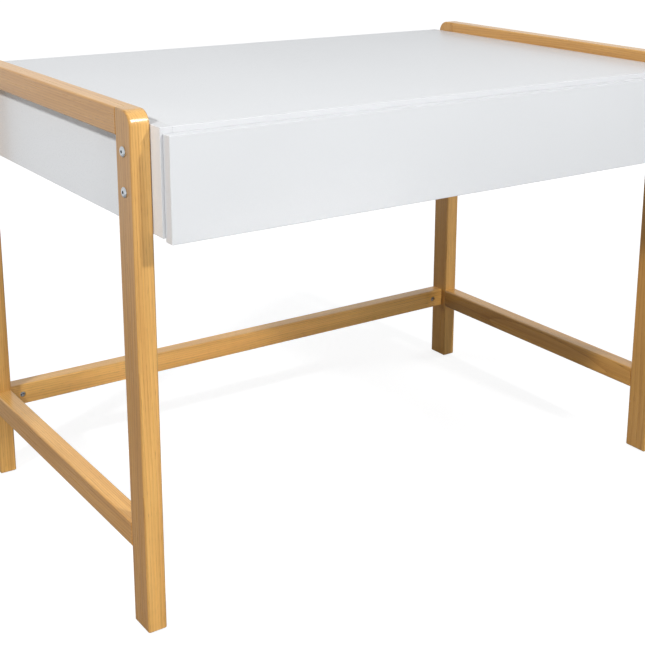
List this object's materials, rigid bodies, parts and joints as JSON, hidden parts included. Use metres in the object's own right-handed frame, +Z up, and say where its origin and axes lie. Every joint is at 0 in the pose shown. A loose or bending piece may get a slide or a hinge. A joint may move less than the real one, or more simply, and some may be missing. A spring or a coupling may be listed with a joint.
{
  "type": "writing desk",
  "caption": "Writing desk: white panelled carcass with a wide handle-less drawer on ball-bearing slides, carried between two oak end frames whose rails stand above the top.",
  "frame": {"origin": "on the floor, under the middle of the overall box, drawer front to carcass back and bolt head to bolt head", "axes": "+X across the desk to the right as seen by the sitter, +Y from the sitter to the back, +Z up"},
  "size_m": [1.0552, 0.7, 0.75],
  "materials": {
    "oak": "clear satin lacquer on solid oak",
    "beech": "bare beech",
    "white_board": "smooth white faced board, low gloss",
    "drawer_board": "white faced board, matt",
    "bolt_steel": "bright nickel plate",
    "zinc_fitting": "zinc plate",
    "slide_steel": "zinc plated sheet steel",
    "glide_plastic": "matt dark plastic",
    "bumper_plastic": "translucent soft plastic"
  },
  "bodies": {
    "desk": {"left_front_leg": "oak", "left_rear_leg": "oak", "right_front_leg": "oak", "right_rear_leg": "oak", "left_top_rail": "oak", "right_top_rail": "oak", "left_side_stretcher": "oak", "right_side_stretcher": "oak", "rear_stretcher": "oak", "left_frame_dowels": "beech", "right_frame_dowels": "beech", "stretcher_dowels": "beech", "stretcher_bolts": "bolt_steel", "barrel_nuts": "zinc_fitting", "left_leg_bolts": "bolt_steel", "right_leg_bolts": "bolt_steel", "left_insert_nuts": "zinc_fitting", "right_insert_nuts": "zinc_fitting", "left_front_glide": "glide_plastic", "left_rear_glide": "glide_plastic", "right_front_glide": "glide_plastic", "right_rear_glide": "glide_plastic", "desk_top": "white_board", "left_side_panel": "white_board", "right_side_panel": "white_board", "back_panel": "white_board", "top_cam_locks": "zinc_fitting", "top_cam_pins": "zinc_fitting", "back_cam_locks": "zinc_fitting", "back_cam_pins": "zinc_fitting", "top_dowels": "beech", "back_dowels": "beech", "left_slide_cabinet_rail": "slide_steel", "right_slide_cabinet_rail": "slide_steel", "cabinet_slide_screws": "zinc_fitting"},
    "left_slide_runner": {"left_slide_middle_rail": "slide_steel"},
    "right_slide_runner": {"right_slide_middle_rail": "slide_steel"},
    "drawer": {"drawer_front": "white_board", "drawer_left_side": "drawer_board", "drawer_right_side": "drawer_board", "drawer_back": "drawer_board", "drawer_bottom": "drawer_board", "drawer_brace": "beech", "drawer_cam_locks": "zinc_fitting", "drawer_cam_pins": "zinc_fitting", "drawer_dowels": "beech", "drawer_back_screws": "zinc_fitting", "bottom_screws": "zinc_fitting", "left_slide_drawer_rail": "slide_steel", "right_slide_drawer_rail": "slide_steel", "drawer_slide_screws": "zinc_fitting", "drawer_bumpers": "bumper_plastic"}
  },
  "joints": [
    {"name": "drawer_slide", "type": "slide", "parent": "desk", "child": "drawer", "axis": [0, -1, 0], "range_m": [0, 0.48]},
    {"name": "left_runner_slide", "type": "slide", "parent": "desk", "child": "left_slide_runner", "axis": [0, -1, 0], "range_m": [0, 0.24]},
    {"name": "right_runner_slide", "type": "slide", "parent": "desk", "child": "right_slide_runner", "axis": [0, -1, 0], "range_m": [0, 0.24]}
  ],
  "couplings": [
    {"joint": "left_runner_slide", "follows": "drawer_slide", "ratio": 0.5},
    {"joint": "right_runner_slide", "follows": "drawer_slide", "ratio": 0.5}
  ]
}
